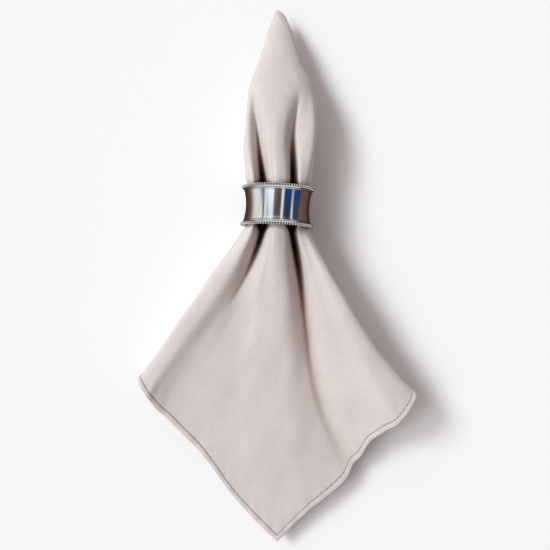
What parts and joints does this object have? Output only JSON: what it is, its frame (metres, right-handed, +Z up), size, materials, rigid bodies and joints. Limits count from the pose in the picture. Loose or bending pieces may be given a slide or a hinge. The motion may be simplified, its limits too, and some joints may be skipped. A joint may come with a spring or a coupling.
{
  "type": "linen napkin in a ring",
  "caption": "Square hemmed linen napkin drawn by one corner through a waisted silver napkin ring with beaded rims, fanned out below it and lying flat.",
  "frame": {"origin": "centre of the bounding box seen from above, on the table", "axes": "+Y from the fanned corner to the gathered tip, +Z up from the table, +X to the right seen from above"},
  "size_m": [0.175, 0.3442, 0.0456],
  "materials": {
    "linen": "matte",
    "silver": "polished"
  },
  "bodies": {
    "root": {"napkin": "linen", "ring_band": "silver", "ring_rim_upper": "silver", "ring_rim_lower": "silver"}
  },
  "joints": []
}
